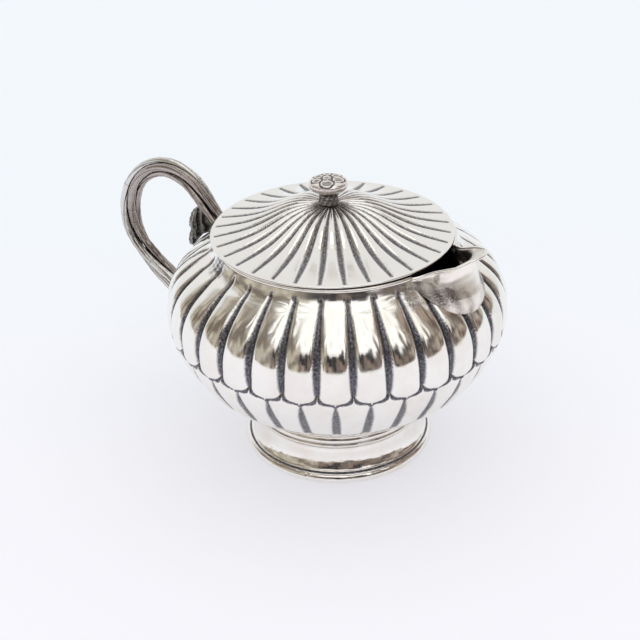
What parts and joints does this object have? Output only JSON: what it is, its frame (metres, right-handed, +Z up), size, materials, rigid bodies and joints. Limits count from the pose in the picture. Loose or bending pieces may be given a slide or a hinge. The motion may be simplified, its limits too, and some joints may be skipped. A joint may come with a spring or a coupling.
{
  "type": "lobed silver pouring pot with lid",
  "caption": "Squat lobed metal pouring pot with a short lip, twisted loop handle, fluted lift-off lid with flower knob, and stepped round foot.",
  "frame": {"origin": "on the table under the middle of the pot's length; the bowl's own axis is 18.25 mm towards +X", "axes": "+Z up, +X towards the pouring lip, handle on the -X side"},
  "size_m": [0.1428, 0.1066, 0.0906],
  "materials": {
    "silver": "polished silver with dark oxidised, stippled grooves",
    "handle_silver": "softly polished silver with darkened creases",
    "oxidised_silver": "oxidised silver, nearly black in the hollows"
  },
  "bodies": {
    "pot": {"bowl": "silver", "foot_collar": "silver", "foot_cove": "silver", "foot_base_wire": "silver", "pouring_lip": "silver", "mouth_rim_wire": "silver", "lip_rim_wire": "silver", "handle_strand_1": "handle_silver", "handle_strand_2": "handle_silver", "handle_strand_3": "handle_silver", "handle_strand_4": "handle_silver", "handle_upper_pad": "handle_silver", "handle_lower_pad": "handle_silver", "handle_leaf": "oxidised_silver"},
    "lid": {"lid_disc": "silver", "lid_flange": "silver", "knob_stem": "oxidised_silver", "knob_cap": "handle_silver", "knob_washer": "silver"}
  },
  "joints": [
    {"name": "lid_lift", "type": "slide", "parent": "pot", "child": "lid", "axis": [0, 0, 1], "range_m": [0, 0.045]}
  ]
}
